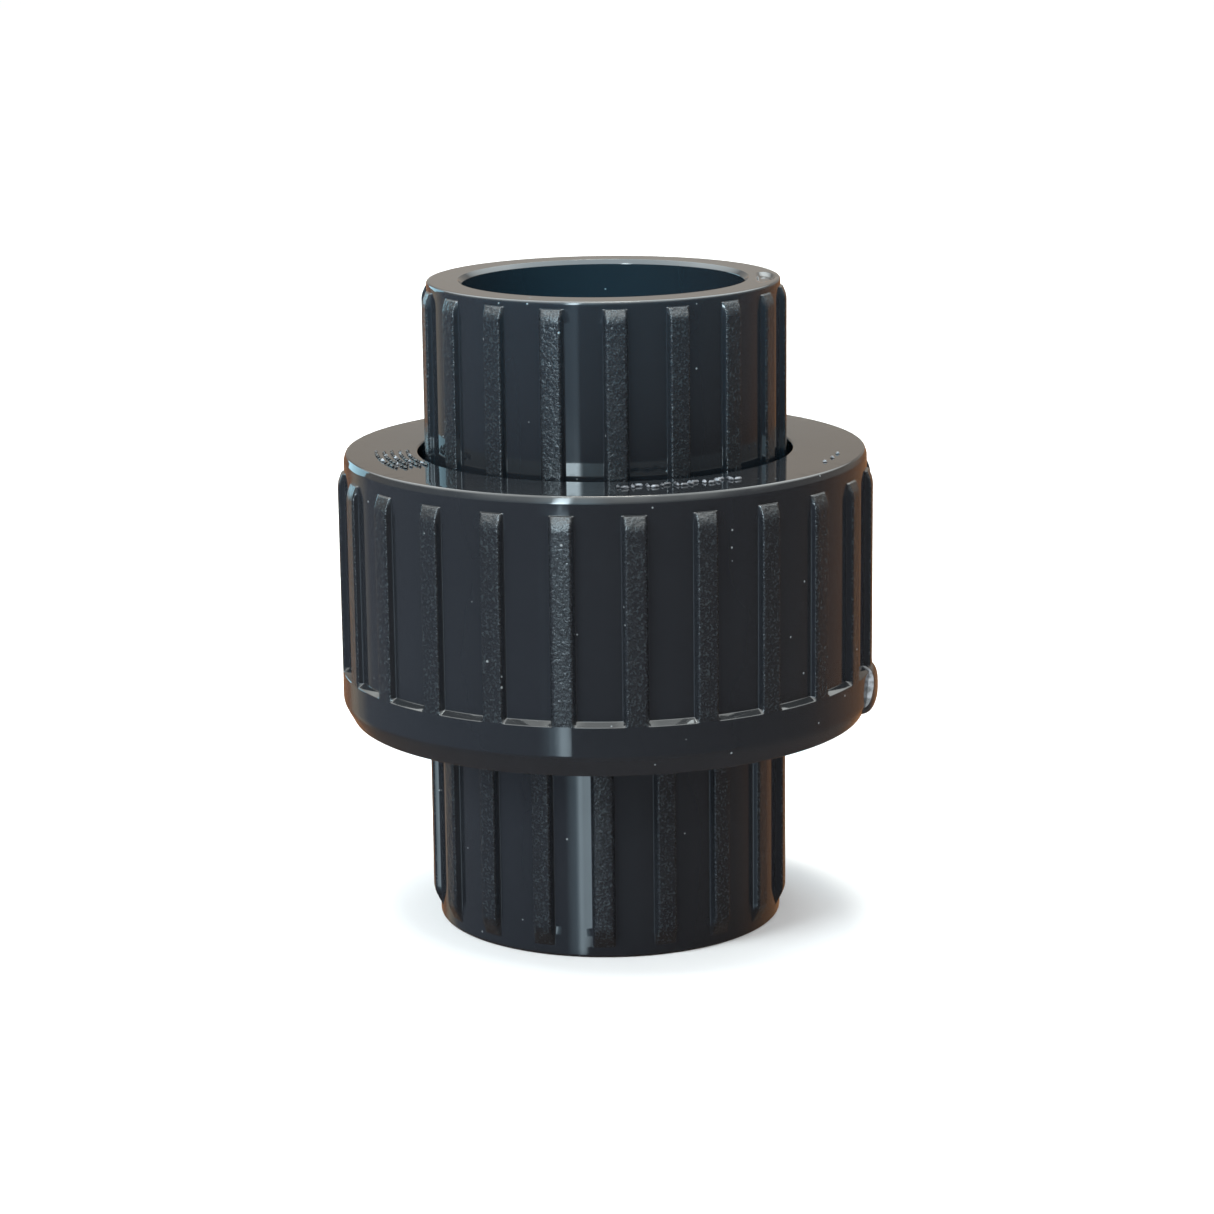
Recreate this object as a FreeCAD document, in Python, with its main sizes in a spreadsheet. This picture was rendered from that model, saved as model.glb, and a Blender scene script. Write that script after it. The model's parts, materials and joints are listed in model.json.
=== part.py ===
import FreeCAD, Part

import os

import Sketcher

# A DN 25 solvent-weld pipe union, standing upright: +Z up, origin on the axis at the lower end.
# The threaded end stands at the bottom, the union end sits on its O-ring, and the union nut
# bears on the union end's collar and screws down on the right-hand thread.

# Driving dimensions in millimetres and degrees. The sheet holds them, and everything is bound to it.
SIZES = {
    # sockets for 32 mm pipe, the same at both ends
    "total_height": 74.85,
    "socket_radius": 16.15,
    "socket_depth": 22.0,
    "mouth_chamfer": 0.5,
    "waterway_radius": 13.5,
    "rib_count": 18,
    "rib_radius": 20.95,
    "pocket_reach": 21.5,
    # threaded end
    "body_wall": 20.11,
    "body_edge_round": 0.35,
    "body_bevel_low": 1.5,
    "body_bevel_high": 4.2,
    "body_rib_width": 2.3,
    "body_pocket_angle": 18.0,
    "flange_low": 26.0,
    "seat_level": 44.6,
    "thread_root": 24.4,
    "flange_chamfer": 0.8,
    # face groove and O-ring, 32.93 x 3.53
    "groove_inner": 16.28,
    "groove_outer": 20.18,
    "groove_depth": 2.7,
    "ring_radius": 18.23,
    "ring_section": 1.765,
    # thread, the same pitch on both pieces and both ridges starting at the same level, half a
    # turn apart; each ridge has a steep load flank and a sloping clear flank, and their sizes
    # are heights from the ridge's middle
    "pitch": 4.0,
    "thread_start": 28.0,
    "root_bite": 0.2,
    "male_length": 14.8,
    "male_crest": 26.0,
    "male_load_root": 1.1,
    "male_load_crest": 0.9,
    "male_clear_crest": 0.1,
    "male_clear_root": 1.1,
    "nut_length": 15.5,
    "nut_crest": 24.9,
    "nut_start_angle": 180.0,
    "nut_load_root": 0.9,
    "nut_load_crest": 0.72,
    "nut_clear_crest": 1.0,
    "nut_clear_root": 1.9,
    # union end
    "end_wall": 20.23,
    "end_seat_gap": 0.02,
    "collar_radius": 24.3,
    "collar_height": 6.16,
    "collar_chamfer": 0.5,
    "end_rib_width": 2.45,
    "end_pocket_angle": 3.6,
    "end_bevel_low": 72.7,
    "end_bevel_high": 74.0,
    "end_bevel_radius": 20.4,
    "end_edge_round": 0.55,
    # union nut
    "nut_low": 24.08,
    "nut_high": 55.29,
    "nut_lip": 50.8,
    "nut_hole": 21.62,
    "nut_cavity": 25.0,
    "nut_cavity_low": 44.9,
    "nut_root": 26.3,
    "nut_lead": 0.6,
    "nut_wall": 30.17,
    "nut_rib_radius": 30.94,
    "nut_rib_count": 24,
    "nut_rib_width": 2.5,
    "nut_pocket_angle": 13.3,
    "nut_pocket_reach": 31.6,
    "nut_pocket_low": 30.4,
    "nut_pocket_lip": 29.47,
    "nut_foot_radius": 29.9,
    "nut_ring_low": 26.0,
    "nut_ring_round": 1.0,
    "nut_bevel_low": 51.5,
    "nut_bevel_high": 53.15,
    "nut_bevel_radius": 30.4,
    "nut_shoulder": 54.5,
    "nut_face_radius": 29.95,
    "nut_edge_round": 0.35,
    # stub of the moulding gate on the nut's lower ring
    "gate_low": 24.9,
    "gate_height": 5.4,
    "gate_angle": -20.5,
    "gate_inner": 29.6,
    "gate_shoulder": 30.9,
    "gate_reach": 31.9,
    "gate_rise": 2.6,
    "gate_fall": 4.6,
    "gate_width": 5.6,
}

ORIGIN = FreeCAD.Vector(0, 0, 0)
UP_IN_SKETCH = FreeCAD.Vector(0, 1, 0)

doc = FreeCAD.newDocument("pipe_union")
sheet = doc.addObject("Spreadsheet::Sheet", "Sizes")
for row, (name, size) in enumerate(SIZES.items(), start=1):
    sheet.set(f"A{row}", name)
    sheet.set(f"B{row}", str(size))
    sheet.setAlias(f"B{row}", name)
doc.recompute()


# ---------------------------------------------------------------- helpers

def value(formula):
    """Millimetres of '0' or of sheet names added up, such as 'seat_level - groove_depth'."""
    if formula == "0":
        return 0.0
    result, sign = 0.0, 1
    for word in formula.split():
        if word in "+-":
            sign = 1 if word == "+" else -1
        else:
            result += sign * SIZES[word]
    return result


def linked(formula):
    """The same formula with each name pointing at its cell of the sheet."""
    return " ".join(word if word in "+-" else "Sizes." + word for word in formula.split())


def origin_feature(body, role):
    """One of the body's own origin planes or axes."""
    return next(item for item in body.Origin.OriginFeatures if item.Role == role)


def outline(body, name, corners, plane="XZ_Plane"):
    """A closed sketch through the corners, each coordinate '0' or a formula of sheet names."""
    sketch = body.newObject("Sketcher::SketchObject", name)
    sketch.AttachmentSupport = [(origin_feature(body, plane), "")]
    sketch.MapMode = "FlatFace"
    points = [FreeCAD.Vector(value(x), value(y), 0) for x, y in corners]
    for start, end in zip(points, points[1:] + points[:1]):
        sketch.addGeometry(Part.LineSegment(start, end), False)
    for line in range(len(corners)):
        sketch.addConstraint(sketcher_join(line, (line + 1) % len(corners)))
        for axis, text in zip("XY", corners[line]):
            pin_corner(sketch, line, axis, text)
    return sketch


def sketcher_join(line, following):
    """The end of one line is the start of the next."""
    return Sketcher.Constraint("Coincident", line, 2, following, 1)


def pin_corner(sketch, line, axis, text):
    """Fix one coordinate of a line's start, on an axis or at a distance bound to the sheet."""
    if text == "0":
        sketch.addConstraint(Sketcher.Constraint("PointOnObject", line, 1, -2 if axis == "X" else -1))
        return
    size = Sketcher.Constraint("Distance" + axis, -1, 1, line, 1, value(text))
    index = sketch.addConstraint(size)
    sketch.setExpression(f"Constraints[{index}]", linked(text))


def turn_sketch(sketch, angle):
    """Turn a standing sketch about the vertical axis by an angle from the sheet."""
    turned = FreeCAD.Rotation(UP_IN_SKETCH, value(angle))
    sketch.AttachmentOffset = FreeCAD.Placement(ORIGIN, turned)
    sketch.setExpression("AttachmentOffset.Rotation.Angle", linked(angle))


def revolve(body, sketch):
    """Turn a closed outline about the vertical axis."""
    solid = body.newObject("PartDesign::Revolution", sketch.Name + "_turned")
    solid.Profile = sketch
    solid.ReferenceAxis = (sketch, ["V_Axis"])
    solid.Angle = 360.0
    doc.recompute()
    return solid


def round_edges(body, feature, radius, rings):
    """Fillet the circular edges that lie at the given (radius, height) formulas."""
    found = []
    for number, edge in enumerate(feature.Shape.Edges, start=1):
        if not isinstance(edge.Curve, Part.Circle):
            continue
        for ring_radius, height in rings:
            same_radius = abs(edge.Curve.Radius - value(ring_radius)) < 1e-4
            same_height = abs(edge.Curve.Center.z - value(height)) < 1e-4
            if same_radius and same_height:
                found.append(f"Edge{number}")
    if len(found) != len(rings):
        raise RuntimeError(f"{feature.Name}: found {len(found)} of {len(rings)} edges to round")
    fillet = body.newObject("PartDesign::Fillet", feature.Name + "_rounded")
    fillet.Base = (feature, found)
    fillet.setExpression("Radius", linked(radius))
    doc.recompute()
    return fillet


def cut_pockets(body, before, sketch, count, width, radius):
    """Cut the spaces between ribs: one turned pocket, repeated round the axis."""
    pocket = body.newObject("PartDesign::Groove", sketch.Name + "_cut")
    pocket.Profile = sketch
    pocket.ReferenceAxis = (sketch, ["V_Axis"])
    pocket.Midplane = True
    rib_sweep = f"Sizes.{width} / Sizes.{radius} * 180 / pi"
    pocket.setExpression("Angle", f"360 / Sizes.{count} - {rib_sweep}")
    pattern = body.newObject("PartDesign::PolarPattern", sketch.Name + "_all")
    pattern.Originals = [pocket]
    pattern.Axis = (origin_feature(body, "Z_Axis"), [""])
    pattern.Angle = 360.0
    pattern.setExpression("Occurrences", f"Sizes.{count}")
    body.Tip = pattern
    doc.recompute()
    if pattern.Shape.Volume > before.Shape.Volume - 1.0:
        raise RuntimeError(f"{sketch.Name}: the pockets cut nothing")
    return pattern


def wind_thread(body, before, sketch, length):
    """Wind a ridge of the sketch's section up the vertical axis as a right-hand thread."""
    ridge = body.newObject("PartDesign::AdditiveHelix", sketch.Name + "_wound")
    ridge.Profile = sketch
    ridge.ReferenceAxis = (sketch, ["V_Axis"])
    ridge.Mode = "pitch-height-angle"
    ridge.setExpression("Pitch", "Sizes.pitch")
    ridge.setExpression("Height", linked(length))
    doc.recompute()
    if ridge.Shape.Volume < before.Shape.Volume + 1.0:
        raise RuntimeError(f"{sketch.Name}: the thread added nothing")
    return ridge


# ---------------------------------------------------------------- threaded end

def make_threaded_end():
    """Ribbed socket below, flange with the male thread above, and the O-ring's face groove."""
    body = doc.addObject("PartDesign::Body", "threaded_end")
    body.Label = "threaded_end"
    groove_floor = "seat_level - groove_depth"
    wall = outline(body, "end_wall_section", [
        ("socket_radius + mouth_chamfer", "0"),
        ("body_wall", "0"),
        ("body_wall", "body_bevel_low"),
        ("rib_radius", "body_bevel_high"),
        ("rib_radius", "flange_low"),
        ("thread_root - flange_chamfer", "flange_low"),
        ("thread_root", "flange_low + flange_chamfer"),
        ("thread_root", "seat_level - flange_chamfer"),
        ("thread_root - flange_chamfer", "seat_level"),
        ("groove_outer", "seat_level"),
        ("groove_outer", groove_floor),
        ("groove_inner", groove_floor),
        ("groove_inner", "seat_level"),
        ("waterway_radius", "seat_level"),
        ("waterway_radius", "socket_depth"),
        ("socket_radius", "socket_depth"),
        ("socket_radius", "mouth_chamfer"),
    ])
    turned = revolve(body, wall)
    rounded = round_edges(body, turned, "body_edge_round", [("body_wall", "0")])
    pocket = outline(body, "lower_pocket", [
        ("body_wall", "body_bevel_low"),
        ("pocket_reach", "body_bevel_low"),
        ("pocket_reach", "flange_low"),
        ("body_wall", "flange_low"),
    ])
    turn_sketch(pocket, "body_pocket_angle")
    ribbed = cut_pockets(body, rounded, pocket, "rib_count", "body_rib_width", "rib_radius")
    ridge = outline(body, "male_ridge", [
        ("thread_root - root_bite", "thread_start - male_load_root"),
        ("male_crest", "thread_start - male_load_crest"),
        ("male_crest", "thread_start + male_clear_crest"),
        ("thread_root - root_bite", "thread_start + male_clear_root"),
    ])
    wind_thread(body, ribbed, ridge, "male_length")
    return body


# ---------------------------------------------------------------- O-ring

def make_o_ring():
    """The seal in the face groove, squeezed flat above and below by the tightened joint."""
    free = doc.addObject("Part::Torus", "free_ring")
    free.setExpression("Radius1", "Sizes.ring_radius")
    free.setExpression("Radius2", "Sizes.ring_section")
    free.setExpression("Placement.Base.z", "Sizes.seat_level - Sizes.groove_depth / 2")
    space = doc.addObject("Part::Cylinder", "squeezed_space")
    space.setExpression("Radius", "Sizes.thread_root")
    space.setExpression("Height", "Sizes.groove_depth")
    space.setExpression("Placement.Base.z", "Sizes.seat_level - Sizes.groove_depth")
    squeezed = doc.addObject("Part::Common", "o_ring")
    squeezed.Base = free
    squeezed.Tool = space
    squeezed.Label = "o_ring"
    return squeezed


# ---------------------------------------------------------------- union end

def make_union_end():
    """Collar that the nut holds down, with the ribbed upper socket standing on it."""
    body = doc.addObject("PartDesign::Body", "union_end")
    body.Label = "union_end"
    foot = "seat_level + end_seat_gap"
    collar_top = foot + " + collar_height"
    stop = "total_height - socket_depth"
    wall = outline(body, "union_end_section", [
        ("waterway_radius", foot),
        ("collar_radius - collar_chamfer", foot),
        ("collar_radius", foot + " + collar_chamfer"),
        ("collar_radius", collar_top),
        ("rib_radius", collar_top),
        ("rib_radius", "end_bevel_low"),
        ("end_bevel_radius", "end_bevel_high"),
        ("end_wall", "end_bevel_high"),
        ("end_wall", "total_height"),
        ("socket_radius + mouth_chamfer", "total_height"),
        ("socket_radius", "total_height - mouth_chamfer"),
        ("socket_radius", stop),
        ("waterway_radius", stop),
    ])
    turned = revolve(body, wall)
    rounded = round_edges(body, turned, "end_edge_round", [("end_wall", "total_height")])
    pocket = outline(body, "upper_pocket", [
        ("end_wall", collar_top),
        ("pocket_reach", collar_top),
        ("pocket_reach", "end_bevel_high"),
        ("end_wall", "end_bevel_high"),
    ])
    turn_sketch(pocket, "end_pocket_angle")
    cut_pockets(body, rounded, pocket, "rib_count", "end_rib_width", "rib_radius")
    return body


# ---------------------------------------------------------------- union nut

def make_union_nut():
    """Ribbed nut with an inward lip above, the female thread below and its gate stub."""
    body = doc.addObject("PartDesign::Body", "union_nut")
    body.Label = "union_nut"
    wall = outline(body, "nut_section", [
        ("nut_root + nut_lead", "nut_low"),
        ("nut_foot_radius", "nut_low"),
        ("nut_rib_radius", "nut_ring_low"),
        ("nut_rib_radius", "nut_bevel_low"),
        ("nut_bevel_radius", "nut_bevel_high"),
        ("nut_wall", "nut_bevel_high"),
        ("nut_wall", "nut_shoulder"),
        ("nut_face_radius", "nut_high"),
        ("nut_hole", "nut_high"),
        ("nut_hole", "nut_lip"),
        ("nut_cavity", "nut_lip"),
        ("nut_cavity", "nut_cavity_low"),
        ("nut_root", "nut_cavity_low"),
        ("nut_root", "nut_low + nut_lead"),
    ])
    turned = revolve(body, wall)
    softened = round_edges(body, turned, "nut_ring_round", [("nut_rib_radius", "nut_ring_low")])
    rounded = round_edges(body, softened, "nut_edge_round", [("nut_face_radius", "nut_high")])
    pocket = outline(body, "nut_pocket", [
        ("nut_wall", "nut_pocket_low"),
        ("nut_pocket_reach", "nut_pocket_lip"),
        ("nut_pocket_reach", "nut_bevel_high"),
        ("nut_wall", "nut_bevel_high"),
    ])
    turn_sketch(pocket, "nut_pocket_angle")
    ribbed = cut_pockets(body, rounded, pocket, "nut_rib_count", "nut_rib_width", "nut_rib_radius")
    gated = add_gate_stub(body, ribbed)
    ridge = outline(body, "nut_ridge", [
        ("nut_root + root_bite", "thread_start - nut_clear_root"),
        ("nut_root + root_bite", "thread_start + nut_load_root"),
        ("nut_crest", "thread_start + nut_load_crest"),
        ("nut_crest", "thread_start - nut_clear_crest"),
    ])
    turn_sketch(ridge, "nut_start_angle")
    wind_thread(body, gated, ridge, "nut_length")
    return body


def add_gate_stub(body, before):
    """What is left of the gate that the nut was filled through, cut off at a slant."""
    flank = outline(body, "gate_plan", [
        ("gate_inner", "0"),
        ("gate_shoulder", "0"),
        ("gate_reach", "gate_rise"),
        ("gate_reach", "gate_fall"),
        ("gate_inner", "gate_width"),
    ], plane="XY_Plane")
    turned = FreeCAD.Rotation(FreeCAD.Vector(0, 0, 1), value("gate_angle"))
    flank.AttachmentOffset = FreeCAD.Placement(ORIGIN, turned)
    flank.setExpression("AttachmentOffset.Base.z", "Sizes.gate_low")
    stub = body.newObject("PartDesign::Pad", "gate_stub")
    stub.Profile = flank
    stub.setExpression("Length", "Sizes.gate_height")
    doc.recompute()
    if stub.Shape.Volume < before.Shape.Volume + 1.0:
        raise RuntimeError("gate_stub: nothing was added")
    return stub


# ---------------------------------------------------------------- build, check, write

pieces = [make_threaded_end(), make_o_ring(), make_union_end(), make_union_nut()]
doc.recompute()

for item in doc.Objects:
    if "Invalid" in item.State or "Error" in item.State:
        raise RuntimeError(f"{item.Name} failed to compute: {item.State}")

os.makedirs("parts", exist_ok=True)
for piece in pieces:
    shape = piece.Shape
    if shape.isNull() or not shape.isValid():
        raise RuntimeError(f"{piece.Label} has no valid shape")
    if len(shape.Solids) != 1:
        raise RuntimeError(f"{piece.Label} is {len(shape.Solids)} solids")
    box = shape.BoundBox
    print(f"{piece.Label}: {shape.Volume:.0f} mm3, "
          f"x {box.XMin:.2f}..{box.XMax:.2f}, y {box.YMin:.2f}..{box.YMax:.2f}, "
          f"z {box.ZMin:.2f}..{box.ZMax:.2f}")
    shape.exportStep(f"parts/{piece.Label}.step")
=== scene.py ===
import bisect
import json
import math

import bmesh
import bpy
from mathutils import Matrix, Vector


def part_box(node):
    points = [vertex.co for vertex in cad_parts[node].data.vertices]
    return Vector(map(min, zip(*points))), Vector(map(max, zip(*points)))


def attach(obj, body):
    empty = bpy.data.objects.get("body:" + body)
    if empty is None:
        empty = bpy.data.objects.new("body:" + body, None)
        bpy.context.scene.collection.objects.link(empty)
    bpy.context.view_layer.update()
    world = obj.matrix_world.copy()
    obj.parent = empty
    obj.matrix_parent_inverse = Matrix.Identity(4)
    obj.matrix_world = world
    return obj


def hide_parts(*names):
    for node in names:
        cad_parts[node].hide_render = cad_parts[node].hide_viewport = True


# A plastic pipe union standing on its lower socket. Each moulding is turned from its own section,
# with ribs, threads and small marks, on the sizes that the CAD frame gives.

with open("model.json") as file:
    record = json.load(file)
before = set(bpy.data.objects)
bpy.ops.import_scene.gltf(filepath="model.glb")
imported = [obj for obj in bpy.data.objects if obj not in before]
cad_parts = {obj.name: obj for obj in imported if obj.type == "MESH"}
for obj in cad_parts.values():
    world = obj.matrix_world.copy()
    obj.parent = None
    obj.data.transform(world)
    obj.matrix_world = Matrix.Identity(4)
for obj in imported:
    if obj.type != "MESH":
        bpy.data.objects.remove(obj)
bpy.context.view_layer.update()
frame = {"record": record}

MM = 0.001
FULL_TURN = 2 * math.pi


# ---------------------------------------------------------------- sizes, in millimetres

def node_extent(node):
    """Lowest z, highest z and the outer radius of a CAD node, in millimetres."""
    low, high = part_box(node)
    return low[2] / MM, high[2] / MM, -low[0] / MM


def mount(name):
    """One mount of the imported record."""
    return next(entry for entry in frame["record"]["mounts"] if entry["name"] == name)


BODY_LOW, SEAT_LEVEL, THREAD_CREST = node_extent("threaded_end")
END_LOW, END_HIGH, COLLAR_RADIUS = node_extent("union_end")
NUT_LOW, NUT_HIGH, NUT_RIB_RADIUS = node_extent("union_nut")
RING_LOW, RING_HIGH, _ = node_extent("o_ring")
SOCKET_RADIUS = mount("upper_socket")["dims"]["r_mm"]
SOCKET_DEPTH = 22.0
MOUTH_CHAMFER = 0.5
WATERWAY_RADIUS = 13.5

# ribbed sockets
SOCKET_RIBS = 18
SOCKET_RIB_RADIUS = 20.95
END_WALL = 20.23
END_RIB_WIDTH = 2.45
END_RIB_ANGLE = -86.4
BODY_WALL = 20.11
BODY_RIB_WIDTH = 2.3
BODY_RIB_ANGLE = -92.0

# flange, groove and threads
THREAD_ROOT = 24.4
FLANGE_LOW = 26.0
GROOVE_INNER = 16.28
GROOVE_OUTER = 20.18
PITCH = 4.0
THREAD_START = 28.0
MALE_THREAD_LENGTH = 14.8
NUT_THREAD_LENGTH = 15.5

# nut
NUT_RIBS = 24
NUT_WALL = 30.17
NUT_RIB_WIDTH = 2.5
NUT_RIB_ANGLE = -84.2
NUT_HOLE = 21.62
NUT_LIP = 50.8
NUT_CAVITY = 25.0
NUT_CAVITY_LOW = 44.9
NUT_THREAD_ROOT = 26.3

# seal, before it is squeezed
SEAL_CENTRE = 18.23
SEAL_SECTION = 1.765

# small features: the oval mark on the socket's rim and what is left of the nut's gate
RIM_MARK_RADIUS = 18.55
RIM_MARK_ANGLE = -3.0
RIM_MARK_DEPTH = 0.4
STUB_HALF_SIZE = (2.1, 4.3, 2.95)
STUB_ANGLE = -10.0
STUB_RADIUS = 29.55
STUB_LEVEL = 27.6
STUB_CUT_NORMAL = (0.12, -0.84, 0.45)
STUB_CUT_DISTANCE = 2.7


# ---------------------------------------------------------------- outlines

SMALLEST_ROW_GAP = 0.008
LONGEST_RUN = 2.5


def rounded(corners, steps=5):
    """Points along an open outline of (radius, height, rounding) corners, each arc in short steps."""
    path = [Vector(corners[0][:2])]
    for before, here, after in zip(corners, corners[1:], corners[2:]):
        corner = Vector(here[:2])
        if here[2] == 0:
            path.append(corner)
            continue
        into = Vector(before[:2]) - corner
        out = Vector(after[:2]) - corner
        angle = into.angle(out)
        reach = min(here[2] / math.tan(angle / 2), 0.49 * into.length, 0.49 * out.length)
        start = corner + into.normalized() * reach
        end = corner + out.normalized() * reach
        for step in range(steps + 1):
            way = step / steps
            path.append((1 - way) ** 2 * start + 2 * way * (1 - way) * corner + way ** 2 * end)
    path.append(Vector(corners[-1][:2]))
    return path


def radius_at(path, height):
    """Radius of a rising outline at a height."""
    heights = [point.y for point in path]
    after = min(max(bisect.bisect_left(heights, height), 1), len(path) - 1)
    low, high = path[after - 1], path[after]
    if high.y - low.y < 1e-9:
        return high.x
    way = min(max((height - low.y) / (high.y - low.y), 0.0), 1.0)
    return low.x + way * (high.x - low.x)


def ribbed_rows(valley, ridge):
    """Rows (valley radius, ridge radius, height) up a ribbed wall, where either outline has a point."""
    heights = sorted(point.y for point in valley + ridge)
    kept = [heights[0]]
    for height in heights[1:]:
        if height - kept[-1] > SMALLEST_ROW_GAP:
            kept.append(height)
    return [(radius_at(valley, height), radius_at(ridge, height), height) for height in kept]


def plain_rows(path):
    """Rows of a wall without ribs, with long straight runs divided."""
    rows = [(path[0].x, path[0].x, path[0].y)]
    for start, end in zip(path, path[1:]):
        parts = max(1, math.ceil((end - start).length / LONGEST_RUN))
        for part in range(1, parts + 1):
            point = start.lerp(end, part / parts)
            rows.append((point.x, point.x, point.y))
    return rows


# Half of a rib's section: millimetres out from the rib's edge, and the share of its height there.
RIB_SHOULDER = [
    (-0.34, 1.0), (-0.27, 0.992), (-0.20, 0.962), (-0.135, 0.905), (-0.08, 0.825), (-0.04, 0.735),
    (0.095, 0.265), (0.13, 0.165), (0.175, 0.085), (0.23, 0.03), (0.30, 0.0),
]


def rib_columns(count, width, radius, first_angle, pocket_parts=5):
    """Columns (angle in radians, share of rib height) round a ribbed wall."""
    half = width / 2
    crown = [(-0.4 * half, 1.0), (0.0, 1.0), (0.4 * half, 1.0)]
    right = [(half + offset, share) for offset, share in RIB_SHOULDER]
    left = [(-place, share) for place, share in reversed(right)]
    section = left + crown + right
    gap = FULL_TURN * radius / count - 2 * right[-1][0]
    section += [(right[-1][0] + gap * part / pocket_parts, 0.0) for part in range(1, pocket_parts)]
    columns = []
    for rib in range(count):
        middle = math.radians(first_angle) + rib * FULL_TURN / count
        columns += [(middle + place / radius, share) for place, share in section]
    return columns


# ---------------------------------------------------------------- meshes

# The whitened finish is real on the gate's cut face and a painted highlight on the nut's raised marks.
SMOOTH, TEXTURED, WHITENED_AND_GLINT = 0, 1, 2

# A face is textured where a rib stands this far out and where this share of its height is reached.
TEXTURED_HEIGHT = 0.05
TEXTURED_SHARE = 0.72


def turn_section(mesh, rows, columns, reshape=None):
    """Adds a closed ring to a bmesh: every row of the section at every column round the axis.

    reshape may move a point: it gets the radius, angle and height and returns the new ones.
    """
    grid = []
    for valley, ridge, height in rows:
        ring = []
        for angle, share in columns:
            radius = valley + (ridge - valley) * share
            place = (radius, angle, height)
            radius, turned, level = reshape(*place) if reshape else place
            spot = Vector((radius * math.cos(turned), radius * math.sin(turned), level))
            ring.append(mesh.verts.new(spot * MM))
        grid.append(ring)
    for row, (ring, upper) in enumerate(zip(grid, grid[1:] + grid[:1])):
        following = rows[(row + 1) % len(rows)]
        raised = min(rows[row][1] - rows[row][0], following[1] - following[0]) > TEXTURED_HEIGHT
        for column in range(len(columns)):
            beside = (column + 1) % len(columns)
            face = mesh.faces.new((ring[column], ring[beside], upper[beside], upper[column]))
            crowned = min(columns[column][1], columns[beside][1]) > TEXTURED_SHARE
            face.material_index = TEXTURED if raised and crowned else SMOOTH


def wind_ridge(mesh, section, root, start_angle, length, fade=40.0):
    """Adds a right-hand thread ridge to a bmesh, fading into the root at both ends.

    section holds (radius, height from the ridge's middle); root is the radius it fades into.
    """
    turns = length / PITCH
    steps = int(turns * 90)
    rings = []
    for step in range(steps + 1):
        degrees = 360 * turns * step / steps
        from_end = min(degrees, 360 * turns - degrees)
        grown = math.sin(min(from_end / fade, 1.0) * math.pi / 2)
        angle = math.radians(start_angle + degrees)
        middle = THREAD_START + PITCH * degrees / 360
        ring = []
        for radius, offset in section:
            faded = root + (radius - root) * max(grown, 0.02)
            level = middle + offset
            spot = Vector((faded * math.cos(angle), faded * math.sin(angle), level))
            ring.append(mesh.verts.new(spot * MM))
        rings.append(ring)
    count = len(section)
    for ring, following in zip(rings, rings[1:]):
        for side in range(count):
            beside = (side + 1) % count
            mesh.faces.new((ring[side], ring[beside], following[beside], following[side]))
    mesh.faces.new(list(reversed(rings[0])))
    mesh.faces.new(rings[-1])


def finish_piece(mesh, name, materials, body, nodes, sharp=35.0):
    """Turns a bmesh into an object with smooth shading, materials and its place in the frame."""
    bmesh.ops.recalc_face_normals(mesh, faces=mesh.faces)
    data = bpy.data.meshes.new(name)
    mesh.to_mesh(data)
    mesh.free()
    for material in materials:
        data.materials.append(material)
    data.shade_smooth()
    data.set_sharp_from_angle(angle=math.radians(sharp))
    piece = bpy.data.objects.new(name, data)
    bpy.context.scene.collection.objects.link(piece)
    weighted = piece.modifiers.new("even_shading", "WEIGHTED_NORMAL")
    weighted.keep_sharp = True
    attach(piece, body)
    if nodes:
        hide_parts(*nodes)
    return piece


# ---------------------------------------------------------------- materials

def node_material(name):
    """An empty node material with its Principled shader: (material, nodes, links, shader)."""
    material = bpy.data.materials.new(name)
    material.use_nodes = True
    tree = material.node_tree
    return material, tree.nodes, tree.links, tree.nodes["Principled BSDF"]


def noise(nodes, links, place, scale, detail=2.0):
    """A noise texture in object space; scale is in features per metre."""
    texture = nodes.new("ShaderNodeTexNoise")
    texture.inputs["Scale"].default_value = scale
    texture.inputs["Detail"].default_value = detail
    links.new(place.outputs["Object"], texture.inputs["Vector"])
    return texture.outputs["Fac"]


def spread(nodes, links, value, low, high, start=0.3, end=0.7):
    """Maps a factor from start..end to low..high."""
    mapped = nodes.new("ShaderNodeMapRange")
    mapped.inputs["From Min"].default_value = start
    mapped.inputs["From Max"].default_value = end
    mapped.inputs["To Min"].default_value = low
    mapped.inputs["To Max"].default_value = high
    links.new(value, mapped.inputs["Value"])
    return mapped.outputs["Result"]


def bump(nodes, links, height, distance, strength, below=None):
    """A bump of a height factor, distance in metres, on top of another bump if given."""
    node = nodes.new("ShaderNodeBump")
    node.inputs["Distance"].default_value = distance
    node.inputs["Strength"].default_value = strength
    links.new(height, node.inputs["Height"])
    if below is not None:
        links.new(below, node.inputs["Normal"])
    return node.outputs["Normal"]


def mixed_colour(nodes, links, factor, first, second):
    """A colour between two, by a factor; either may be a socket."""
    mix = nodes.new("ShaderNodeMix")
    mix.data_type = "RGBA"
    links.new(factor, mix.inputs["Factor"])
    for socket, colour in ((mix.inputs[6], first), (mix.inputs[7], second)):
        if isinstance(colour, tuple):
            socket.default_value = (*colour, 1.0)
        else:
            links.new(colour, socket)
    return mix.outputs[2]


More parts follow.
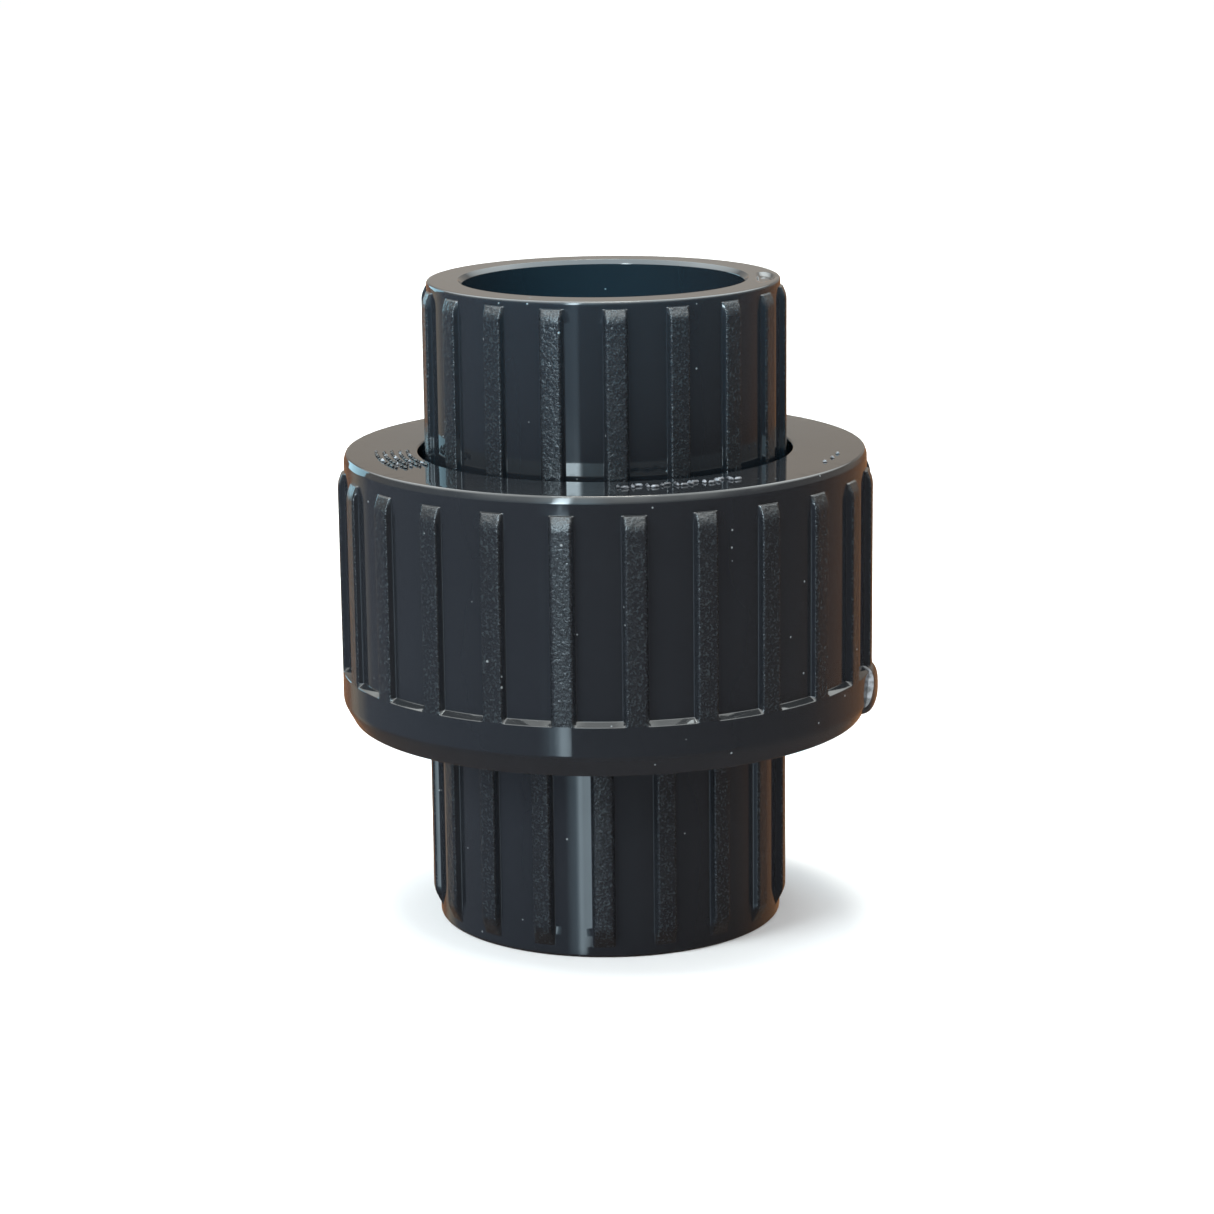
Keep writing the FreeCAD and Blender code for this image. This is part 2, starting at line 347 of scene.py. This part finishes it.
def specks(nodes, links, place, per_metre, size, share):
    """Sparse round specks: 1 on a speck, 0 elsewhere. share is how many cells have one."""
    cells = nodes.new("ShaderNodeTexVoronoi")
    cells.inputs["Scale"].default_value = per_metre
    links.new(place.outputs["Object"], cells.inputs["Vector"])
    near = nodes.new("ShaderNodeMath")
    near.operation = "LESS_THAN"
    near.inputs[1].default_value = size
    links.new(cells.outputs["Distance"], near.inputs[0])
    chosen = nodes.new("ShaderNodeSeparateColor")
    links.new(cells.outputs["Color"], chosen.inputs["Color"])
    picked = nodes.new("ShaderNodeMath")
    picked.operation = "LESS_THAN"
    picked.inputs[1].default_value = share
    links.new(chosen.outputs["Red"], picked.inputs[0])
    both = nodes.new("ShaderNodeMath")
    both.operation = "MULTIPLY"
    links.new(near.outputs["Value"], both.inputs[0])
    links.new(picked.outputs["Value"], both.inputs[1])
    return both.outputs["Value"]


PVC_DARK = (0.0098, 0.0112, 0.0138)
PVC_LIGHT = (0.0124, 0.0140, 0.0167)
PVC_IOR = 1.46
DUST = (0.17, 0.19, 0.20)
# Pale flecks for the eroded ribs: partly the grain's own tone, partly painted glints.
GRAIN_AND_GLINT = (0.022, 0.028, 0.032)


def glossy_pvc():
    """Moulded PVC-U: near-black slate blue, glossy, slightly wavy, with a little dust."""
    material, nodes, links, shader = node_material("glossy_pvc")
    place = nodes.new("ShaderNodeTexCoord")
    clouds = noise(nodes, links, place, 70.0, 3.0)
    dust = specks(nodes, links, place, 600.0, 0.07, 0.20)
    tone = mixed_colour(nodes, links, clouds, PVC_DARK, PVC_LIGHT)
    colour = mixed_colour(nodes, links, dust, tone, DUST)
    links.new(colour, shader.inputs["Base Color"])
    wiped = noise(nodes, links, place, 420.0, 4.0)
    links.new(spread(nodes, links, wiped, 0.03, 0.07), shader.inputs["Roughness"])
    waves = bump(nodes, links, noise(nodes, links, place, 90.0, 1.0), 0.00008, 0.25)
    links.new(waves, shader.inputs["Normal"])
    shader.inputs["IOR"].default_value = PVC_IOR
    return material


def eroded_pvc():
    """The same plastic where the mould was left spark-eroded: dull, with a coarse even grain, whose
    peaks get pale flecks painted in as glints.
    """
    material, nodes, links, shader = node_material("eroded_pvc")
    place = nodes.new("ShaderNodeTexCoord")
    grain = noise(nodes, links, place, 3400.0, 3.0)
    pits = noise(nodes, links, place, 1500.0, 4.0)
    # Pale flecks on the grain's peaks: a painted glint, as bright under any light, on top of the
    # grain's own tone.
    grain_glint_peaks = spread(nodes, links, grain, 0.0, 1.0, 0.54, 0.68)
    tone = mixed_colour(nodes, links, grain_glint_peaks, PVC_DARK, GRAIN_AND_GLINT)
    dust = specks(nodes, links, place, 600.0, 0.09, 0.15)
    links.new(mixed_colour(nodes, links, dust, tone, DUST), shader.inputs["Base Color"])
    links.new(spread(nodes, links, pits, 0.14, 0.26), shader.inputs["Roughness"])
    coarse = bump(nodes, links, pits, 0.00011, 0.80)
    fine = bump(nodes, links, grain, 0.00006, 0.85, coarse)
    links.new(fine, shader.inputs["Normal"])
    shader.inputs["IOR"].default_value = PVC_IOR
    return material


def whitened_and_glint_pvc():
    """Plastic torn where the gate was cut off: pale and streaked. On the nut's raised marks the same
    pale finish is a painted highlight.
    """
    material, nodes, links, shader = node_material("whitened_and_glint_pvc")
    place = nodes.new("ShaderNodeTexCoord")
    streaks = noise(nodes, links, place, 1100.0, 4.0)
    tone = spread(nodes, links, streaks, 0.0, 1.0, 0.42, 0.62)
    colour = mixed_colour(nodes, links, tone, (0.045, 0.047, 0.054), (0.30, 0.315, 0.345))
    links.new(colour, shader.inputs["Base Color"])
    links.new(spread(nodes, links, streaks, 0.25, 0.5), shader.inputs["Roughness"])
    links.new(bump(nodes, links, streaks, 0.0001, 0.6), shader.inputs["Normal"])
    return material


def seal_rubber():
    """Matt black EPDM with a faint bloom."""
    material, nodes, links, shader = node_material("seal_rubber")
    place = nodes.new("ShaderNodeTexCoord")
    bloom = noise(nodes, links, place, 260.0, 4.0)
    colour = mixed_colour(nodes, links, bloom, (0.010, 0.010, 0.011), (0.022, 0.022, 0.023))
    links.new(colour, shader.inputs["Base Color"])
    links.new(spread(nodes, links, bloom, 0.50, 0.68), shader.inputs["Roughness"])
    fine = noise(nodes, links, place, 3000.0, 2.0)
    links.new(bump(nodes, links, fine, 0.00002, 0.5), shader.inputs["Normal"])
    return material


PVC = [glossy_pvc(), eroded_pvc(), whitened_and_glint_pvc()]
RUBBER = [seal_rubber()]


# ---------------------------------------------------------------- threaded end

def make_threaded_end():
    """Ribbed lower socket, flange with the male thread, and the seal's groove in the top face."""
    rib_foot, wall_top = 1.25, FLANGE_LOW - 0.1
    groove_floor = RING_LOW
    rows = plain_rows(rounded([
        (SOCKET_RADIUS + 3.0, BODY_LOW, 0),
        (BODY_WALL, BODY_LOW, 0.35),
        (BODY_WALL, rib_foot - 0.05, 0),
    ]))
    rows += ribbed_rows(
        rounded([(BODY_WALL, rib_foot, 0), (BODY_WALL, wall_top, 0)]),
        rounded([(BODY_WALL, rib_foot, 0), (BODY_WALL + 0.06, rib_foot + 0.12, 0.1),
                 (SOCKET_RIB_RADIUS, 3.0, 2.6), (SOCKET_RIB_RADIUS, wall_top, 0)], 8))
    rows += plain_rows(rounded([
        (SOCKET_RIB_RADIUS + 0.1, FLANGE_LOW, 0),
        (THREAD_ROOT - 0.8, FLANGE_LOW, 0.2),
        (THREAD_ROOT, FLANGE_LOW + 0.8, 0.2),
        (THREAD_ROOT, SEAT_LEVEL - 0.8, 0.2),
        (THREAD_ROOT - 0.8, SEAT_LEVEL, 0.2),
        (GROOVE_OUTER, SEAT_LEVEL, 0.1),
        (GROOVE_OUTER, groove_floor, 0.2),
        (GROOVE_INNER, groove_floor, 0.2),
        (GROOVE_INNER, SEAT_LEVEL, 0.1),
        (WATERWAY_RADIUS, SEAT_LEVEL, 0.3),
        (WATERWAY_RADIUS, SOCKET_DEPTH, 0.2),
        (SOCKET_RADIUS, SOCKET_DEPTH, 0.3),
        (SOCKET_RADIUS, MOUTH_CHAMFER, 0.12),
        (SOCKET_RADIUS + MOUTH_CHAMFER, BODY_LOW, 0.12),
        (SOCKET_RADIUS + 2.6, BODY_LOW, 0),
    ]))
    mesh = bmesh.new()
    columns = rib_columns(SOCKET_RIBS, BODY_RIB_WIDTH, SOCKET_RIB_RADIUS, BODY_RIB_ANGLE)
    turn_section(mesh, rows, columns)
    ridge = [(THREAD_ROOT - 0.2, -1.1), (THREAD_CREST - 0.15, -0.92), (THREAD_CREST, -0.75),
             (THREAD_CREST, -0.05), (THREAD_CREST - 0.15, 0.16), (THREAD_ROOT - 0.2, 1.1)]
    wind_ridge(mesh, ridge, THREAD_ROOT - 0.2, 0.0, MALE_THREAD_LENGTH)
    finish_piece(mesh, "threaded_end_moulding", PVC, "threaded_half", ["threaded_end"])


# ---------------------------------------------------------------- O-ring

def make_o_ring():
    """The seal, squeezed flat above and below."""
    middle = (RING_LOW + RING_HIGH) / 2
    half = (RING_HIGH - RING_LOW) / 2
    flat = math.sqrt(SEAL_SECTION ** 2 - half ** 2)
    turn = math.atan2(half, flat)
    path = []
    for side in (1, -1):
        for step in range(13):
            angle = side * turn * (step / 6 - 1)
            path.append(Vector((SEAL_CENTRE + side * SEAL_SECTION * math.cos(angle),
                                middle + SEAL_SECTION * math.sin(angle))))
    rows = [(point.x, point.x, point.y) for point in path]
    columns = [(FULL_TURN * step / 180, 0.0) for step in range(180)]
    mesh = bmesh.new()
    turn_section(mesh, rows, columns)
    finish_piece(mesh, "squeezed_o_ring", RUBBER, "threaded_half", ["o_ring"])


# ---------------------------------------------------------------- union end

def rim_mark(radius, angle, height):
    """Sinks the small smooth mark into the rim's face, where the moulding was fed."""
    across = (radius - RIM_MARK_RADIUS) / 1.1
    along = (math.degrees(angle) - RIM_MARK_ANGLE + 180) % 360 - 180
    inside = across ** 2 + (along / 13.0) ** 2
    if height > END_HIGH - 0.3 and inside < 1:
        height -= RIM_MARK_DEPTH * min(1.0, (1 - inside) * 2.2)
    return radius, angle, height


def make_union_end():
    """The collar that the nut holds down and the ribbed upper socket."""
    wall_low, rib_top = NUT_LIP + 0.1, 74.0
    rows = plain_rows(rounded([
        (20.0, END_LOW, 0),
        (COLLAR_RADIUS - 0.5, END_LOW, 0.15),
        (COLLAR_RADIUS, END_LOW + 0.5, 0.15),
        (COLLAR_RADIUS, NUT_LIP - 0.02, 0.25),
        (SOCKET_RIB_RADIUS + 0.2, NUT_LIP - 0.02, 0),
    ]))
    rows += ribbed_rows(
        rounded([(END_WALL, wall_low, 0), (END_WALL, rib_top + 0.06, 0)]),
        rounded([(SOCKET_RIB_RADIUS, wall_low, 0), (SOCKET_RIB_RADIUS, 72.9, 2.4),
                 (END_WALL + 0.26, rib_top - 0.05, 0.10), (END_WALL, rib_top + 0.02, 0.02),
                 (END_WALL, rib_top + 0.06, 0)]))
    rows += plain_rows(rounded([
        (END_WALL, rib_top + 0.12, 0),
        (END_WALL, END_HIGH, 0.85),
        (19.6, END_HIGH, 0),
    ]))
    rim_steps = 26
    inner_edge = SOCKET_RADIUS + MOUTH_CHAMFER + 0.2
    for step in range(1, rim_steps):
        radius = 19.6 + (inner_edge - 19.6) * step / rim_steps
        rows.append((radius, radius, END_HIGH))
    rows += plain_rows(rounded([
        (inner_edge, END_HIGH, 0),
        (SOCKET_RADIUS + MOUTH_CHAMFER, END_HIGH, 0.1),
        (SOCKET_RADIUS, END_HIGH - MOUTH_CHAMFER, 0.12),
        (SOCKET_RADIUS, END_HIGH - SOCKET_DEPTH, 0.3),
        (WATERWAY_RADIUS, END_HIGH - SOCKET_DEPTH, 0.3),
        (WATERWAY_RADIUS, END_LOW, 0.2),
        (19.0, END_LOW, 0),
    ]))
    mesh = bmesh.new()
    columns = rib_columns(SOCKET_RIBS, END_RIB_WIDTH, SOCKET_RIB_RADIUS, END_RIB_ANGLE)
    turn_section(mesh, rows, columns, rim_mark)
    finish_piece(mesh, "union_end_moulding", PVC, "union_half", ["union_end"])


# ---------------------------------------------------------------- union nut

def make_union_nut():
    """The ribbed nut: lower ring, rib pockets, smooth shoulder, lip, cavity and female thread."""
    pocket_low, rib_top = 30.4, 53.15
    shoulder_low = rib_top + 0.1
    rows = plain_rows(rounded([
        (28.4, NUT_LOW, 0),
        (29.75, NUT_LOW, 0.5),
        (NUT_RIB_RADIUS, 26.3, 1.8),
        (NUT_RIB_RADIUS, pocket_low - 0.85, 0),
    ]))
    rows += ribbed_rows(
        rounded([(NUT_RIB_RADIUS, pocket_low - 0.8, 0), (NUT_RIB_RADIUS, pocket_low - 0.5, 0.15),
                 (NUT_WALL, pocket_low, 0.15), (NUT_WALL, shoulder_low, 0)]),
        rounded([(NUT_RIB_RADIUS, pocket_low - 0.8, 0), (NUT_RIB_RADIUS, 51.9, 3.2),
                 (NUT_WALL + 0.27, rib_top - 0.05, 0.12), (NUT_WALL, rib_top + 0.03, 0.02),
                 (NUT_WALL, shoulder_low, 0)]))
    rows += plain_rows(rounded([
        (NUT_WALL, shoulder_low + 0.1, 0),
        (NUT_WALL, 54.5, 0.8),
        (29.9, NUT_HIGH, 0.35),
        (NUT_HOLE, NUT_HIGH, 0.3),
        (NUT_HOLE, NUT_LIP, 0.2),
        (NUT_CAVITY, NUT_LIP, 0.3),
        (NUT_CAVITY, NUT_CAVITY_LOW, 0.2),
        (NUT_THREAD_ROOT, NUT_CAVITY_LOW, 0.2),
        (NUT_THREAD_ROOT, NUT_LOW + 0.6, 0.2),
        (NUT_THREAD_ROOT + 0.6, NUT_LOW, 0.1),
        (28.0, NUT_LOW, 0),
    ]))
    mesh = bmesh.new()
    columns = rib_columns(NUT_RIBS, NUT_RIB_WIDTH, NUT_RIB_RADIUS, NUT_RIB_ANGLE)
    turn_section(mesh, rows, columns)
    root = NUT_THREAD_ROOT + 0.2
    ridge = [(root, -1.9), (25.05, -1.1), (24.9, -0.9), (24.9, 0.6), (25.05, 0.73), (root, 0.9)]
    wind_ridge(mesh, ridge, root, 180.0, NUT_THREAD_LENGTH)
    finish_piece(mesh, "union_nut_moulding", PVC, "nut", ["union_nut"])


def make_gate_stub():
    """What is left of the nut's gate: a rounded lump on the lower ring, cut off at a slant."""
    mesh = bmesh.new()
    bmesh.ops.create_icosphere(mesh, subdivisions=5, radius=1.0)
    for vertex in mesh.verts:
        vertex.co = Vector((math.copysign(abs(part) ** 0.72, part) for part in vertex.co))
    bmesh.ops.scale(mesh, vec=Vector(STUB_HALF_SIZE) * MM, verts=mesh.verts)
    facing = Vector(STUB_CUT_NORMAL)
    cut = bmesh.ops.bisect_plane(
        mesh, geom=mesh.verts[:] + mesh.edges[:] + mesh.faces[:],
        plane_co=facing.normalized() * STUB_CUT_DISTANCE * MM, plane_no=facing, clear_outer=True)
    edges = [item for item in cut["geom_cut"] if isinstance(item, bmesh.types.BMEdge)]
    for face in bmesh.ops.edgeloop_fill(mesh, edges=edges)["faces"]:
        face.material_index = WHITENED_AND_GLINT
    turned = Matrix.Rotation(math.radians(STUB_ANGLE), 4, "Z")
    placed = Matrix.Translation(Vector((STUB_RADIUS, 0, STUB_LEVEL)) * MM)
    bmesh.ops.transform(mesh, matrix=turned @ placed, verts=mesh.verts)
    finish_piece(mesh, "nut_gate_stub", PVC, "nut", [], sharp=30.0)


def raised_mark(mesh, radius, degrees, along, across, height=0.22, finish=SMOOTH):
    """A small raised bar on the nut's top face: its size along the rim and across it."""
    corners = bmesh.ops.create_cube(mesh, size=1.0)["verts"]
    bmesh.ops.scale(mesh, vec=Vector((across, along, height)) * MM, verts=corners)
    edges = list({edge for vertex in corners for edge in vertex.link_edges})
    made = bmesh.ops.bevel(mesh, geom=edges, offset=0.13 * MM, segments=3, affect="EDGES")
    lifted = Matrix.Translation(Vector((radius, 0, NUT_HIGH + height / 2 - 0.08)) * MM)
    turned = Matrix.Rotation(math.radians(degrees), 4, "Z")
    moved = {vertex for face in made["faces"] for vertex in face.verts}
    for vertex in moved:
        for face in vertex.link_faces:
            face.material_index = finish
    bmesh.ops.transform(mesh, matrix=turned @ lifted, verts=list(moved))


def make_nut_marks():
    """Plain raised bars and pips on the nut's top face, where a maker would put its marks; many wear
    the pale whitened finish as a painted highlight.
    """
    mesh = bmesh.new()
    # The pale whitened finish on these bars and pips is a painted highlight, for light caught on their
    # raised edges.
    for row, radius in enumerate((22.8, 23.7, 24.6, 25.5, 26.4)):
        for bar in range(10):
            degrees = -175.0 + 2.5 * bar + 1.1 * (row % 2)
            length = (0.95, 0.4, 0.65)[(bar + row) % 3]
            finish = (TEXTURED, SMOOTH, TEXTURED, SMOOTH, WHITENED_AND_GLINT)[(3 * bar + row) % 5]
            raised_mark(mesh, radius, degrees, length, 0.40, 0.34, finish)
    for sign in range(9):
        degrees = -87.0 + 3.7 * sign
        raised_mark(mesh, 25.3, degrees, 0.34, 1.3 if sign % 3 else 0.7, 0.40, WHITENED_AND_GLINT)
        raised_mark(mesh, 24.8 if sign % 2 else 25.8, degrees + 1.6, 0.95, 0.34, 0.38, WHITENED_AND_GLINT)
    for pip in range(3):
        raised_mark(mesh, 27.2, -25.0 + 5.5 * pip, 0.5, 0.5, 0.3, WHITENED_AND_GLINT)
    finish_piece(mesh, "nut_face_marks", PVC, "nut", [], sharp=75.0)


make_threaded_end()
make_o_ring()
make_union_end()
make_union_nut()
make_gate_stub()
make_nut_marks()


# ---------------------------------------------------------------- studio

def make_floor():
    """A wide plain pale floor. Gloss on the object mirrors the studio surround, not the floor."""
    bpy.ops.mesh.primitive_plane_add(size=40.0)
    floor = bpy.context.object
    floor.name = "studio_floor"
    material, _, _, shader = node_material("pale_floor")
    shader.inputs["Base Color"].default_value = (0.96, 0.96, 0.96, 1.0)
    shader.inputs["Roughness"].default_value = 0.9
    shader.inputs["Specular IOR Level"].default_value = 0.0
    floor.data.materials.append(material)
    floor.visible_glossy = False


def ramp(nodes, links, value, stops):
    """A colour ramp from (position, colour) stops."""
    node = nodes.new("ShaderNodeValToRGB")
    elements = node.color_ramp.elements
    while len(elements) < len(stops):
        elements.new(0.5)
    for element, (position, colour) in zip(elements, stops):
        element.position = position
        element.color = (*colour, 1.0)
    links.new(value, node.inputs["Fac"])
    return node.outputs["Color"]


def around(degrees):
    """Ramp position of a direction, in degrees from the front (-Y), positive towards +X."""
    return 0.5 + degrees / 360


def make_surround():
    """What the gloss mirrors: a dim room below eye level, one window, a pale ceiling, a brown table."""
    bpy.ops.mesh.primitive_uv_sphere_add(segments=64, ring_count=32, radius=3.0)
    shell = bpy.context.object
    shell.name = "studio_surround"
    material = bpy.data.materials.new("studio_surround")
    material.use_nodes = True
    nodes, links = material.node_tree.nodes, material.node_tree.links
    nodes.clear()
    place = nodes.new("ShaderNodeTexCoord")
    unit = nodes.new("ShaderNodeVectorMath")
    unit.operation = "NORMALIZE"
    links.new(place.outputs["Object"], unit.inputs[0])
    parts = nodes.new("ShaderNodeSeparateXYZ")
    links.new(unit.outputs["Vector"], parts.inputs["Vector"])
    backward = nodes.new("ShaderNodeMath")
    backward.operation = "MULTIPLY"
    backward.inputs[1].default_value = -1.0
    links.new(parts.outputs["Y"], backward.inputs[0])
    bearing = nodes.new("ShaderNodeMath")
    bearing.operation = "ARCTAN2"
    links.new(parts.outputs["X"], bearing.inputs[0])
    links.new(backward.outputs["Value"], bearing.inputs[1])
    turn = spread(nodes, links, bearing.outputs["Value"], 0.0, 1.0, -math.pi, math.pi)

    wood, shade = (0.37, 0.175, 0.08), (0.11, 0.082, 0.066)
    low = ramp(nodes, links, turn, [
        (around(-178), wood), (around(-152), (0.36, 0.19, 0.11)), (around(-142), (0.60, 0.50, 0.38)),
        (around(-134), (0.46, 0.42, 0.36)), (around(-126), (0.20, 0.22, 0.26)),
        (around(-88), (0.24, 0.29, 0.38)), (around(-30), (0.20, 0.24, 0.32)),
        (around(-8), (0.12, 0.125, 0.145)), (around(50), shade), (around(92), (0.14, 0.095, 0.06)),
        (around(128), (0.36, 0.19, 0.095)), (around(178), wood),
    ])
    gleam = ramp(nodes, links, turn, [
        (around(-29), (0.0, 0.0, 0.0)), (around(-26), (0.10, 0.14, 0.16)),
        (around(-21.5), (0.18, 0.25, 0.29)), (around(-20.3), (0.74, 0.92, 1.0)),
        (around(-17.2), (0.74, 0.92, 1.0)), (around(-15.5), (0.0, 0.0, 0.0)),
    ])
    level = spread(nodes, links, parts.outputs["Z"], 0.0, 1.0, -0.40, 0.0)
    window = ramp(nodes, links, level, [
        (0.0, (0.0, 0.0, 0.0)), (0.18, (5.0, 5.2, 5.4)), (0.36, (5.6, 5.8, 6.0)),
        (0.50, (6.0, 6.2, 6.4)), (0.55, (3.0, 3.2, 3.4)), (0.585, (1.4, 1.5, 1.6)),
        (0.63, (0.7, 0.8, 0.9)), (1.0, (0.6, 0.7, 0.8)),
    ])
    lit = nodes.new("ShaderNodeVectorMath")
    lit.operation = "MULTIPLY_ADD"
    links.new(gleam, lit.inputs[0])
    links.new(window, lit.inputs[1])
    links.new(low, lit.inputs[2])
    high = ramp(nodes, links, turn, [
        (around(-178), (0.55, 0.49, 0.42)), (around(-120), (0.50, 0.46, 0.40)),
        (around(-70), (0.75, 0.85, 0.90)), (around(-34), (1.1, 1.3, 1.4)),
        (around(-24), (2.2, 3.0, 3.4)), (around(-21), (26.0, 32.0, 35.0)),
        (around(-17.5), (26.0, 32.0, 35.0)),
        (around(-15), (2.2, 3.0, 3.4)), (around(-8), (2.2, 3.0, 3.4)), (around(3), (1.1, 1.2, 1.2)),
        (around(60), (0.60, 0.62, 0.62)), (around(120), (0.56, 0.49, 0.41)),
        (around(178), (0.55, 0.49, 0.42)),
    ])
    height = spread(nodes, links, parts.outputs["Z"], 0.0, 1.0, -0.03, 0.12)
    sides = mixed_colour(nodes, links, height, lit.outputs["Vector"], high)
    underneath = spread(nodes, links, parts.outputs["Z"], 0.0, 1.0, -0.34, -0.50)
    grounded = mixed_colour(nodes, links, underneath, sides, (0.16, 0.11, 0.075))
    overhead = spread(nodes, links, parts.outputs["Z"], 0.0, 1.0, 0.35, 0.75)
    colour = mixed_colour(nodes, links, overhead, grounded, (5.8, 6.1, 6.0))
    glow = nodes.new("ShaderNodeEmission")
    links.new(colour, glow.inputs["Color"])
    output = nodes.new("ShaderNodeOutputMaterial")
    links.new(glow.outputs["Emission"], output.inputs["Surface"])
    shell.data.materials.append(material)
    shell.visible_camera = False
    shell.visible_diffuse = False
    shell.visible_shadow = False
    shell.visible_transmission = False


def aim_light(light, target):
    """Turns a light so that it shines on a point, and adds it to the scene."""
    aim = Vector(target) - light.location
    light.rotation_euler = aim.to_track_quat("-Z", "Y").to_euler()
    bpy.context.scene.collection.objects.link(light)


def softbox(name, location, size, watts, colour, mirrored=False, depth=None):
    """A soft round or oval light, seen in reflections only if it is mirrored."""
    data = bpy.data.lights.new(name, "AREA")
    data.shape = "ELLIPSE"
    data.size = size
    data.size_y = depth or size
    data.energy = watts
    data.color = colour
    light = bpy.data.objects.new(name, data)
    light.location = location
    light.visible_glossy = mirrored
    aim_light(light, (0, 0, 0.04))


def make_bore_light():
    """A narrow teal light down the upper socket, whose wall shows blue daylight."""
    data = bpy.data.lights.new("bore_light", "SPOT")
    data.energy = 70.0
    data.color = (0.16, 0.74, 1.0)
    data.spot_size = math.radians(4.4)
    data.spot_blend = 0.5
    data.shadow_soft_size = 0.02
    light = bpy.data.objects.new("bore_light", data)
    light.location = (0.0, -0.22, 0.50)
    light.visible_glossy = False
    aim_light(light, (0, 0.004, END_HIGH * MM))


def make_world():
    """Even pale daylight from everywhere, shown with plain sRGB contrast."""
    bpy.context.scene.view_settings.view_transform = "Standard"
    world = bpy.data.worlds.new("daylight")
    world.use_nodes = True
    background = world.node_tree.nodes["Background"]
    background.inputs["Color"].default_value = (1.0, 1.0, 1.0, 1.0)
    background.inputs["Strength"].default_value = 1.0
    bpy.context.scene.world = world


# The camera's place in metres, its turn downwards and sideways in degrees, and its lens.
CAMERA_PLACE = (0, -0.38456, 0.12535)
CAMERA_PITCH = -13.051
CAMERA_ROLL = -0.677
CAMERA_LENS = 100.226


def make_camera():
    """A view from the front and a little above, with a slight tilt of the horizon."""
    pitch, roll = math.radians(CAMERA_PITCH), math.radians(CAMERA_ROLL)
    forward = Vector((0, math.cos(pitch), math.sin(pitch)))
    right = Vector((1, 0, 0))
    up = right.cross(forward)
    tilted_right = math.cos(roll) * right + math.sin(roll) * up
    tilted_up = math.cos(roll) * up - math.sin(roll) * right
    data = bpy.data.cameras.new("camera")
    data.sensor_width = 36.0
    data.lens = CAMERA_LENS
    data.clip_start = 0.01
    camera = bpy.data.objects.new("camera", data)
    facing = Matrix((tilted_right, tilted_up, -forward)).transposed().to_4x4()
    camera.matrix_world = Matrix.Translation(CAMERA_PLACE) @ facing
    bpy.context.scene.collection.objects.link(camera)
    bpy.context.scene.camera = camera


make_floor()
make_surround()
softbox("key_light", (-0.75, -0.55, 0.60), 0.5, 9.0, (0.88, 0.97, 1.0))
softbox("top_light", (0.05, 0.15, 1.1), 0.8, 6.0, (0.78, 0.94, 1.0))
softbox("side_window", (-0.72, 0.86, 0.22), 0.55, 2.2, (0.40, 0.80, 1.0), mirrored=True)
softbox("front_lamp", (-0.20, -0.21, 1.05), 0.13, 1.5, (0.90, 1.0, 1.0), mirrored=True)
softbox("rear_lamp", (0.04, 0.225, 1.07), 0.30, 4.0, (1.0, 0.95, 0.84), mirrored=True, depth=0.08)
make_bore_light()
make_world()
make_camera()
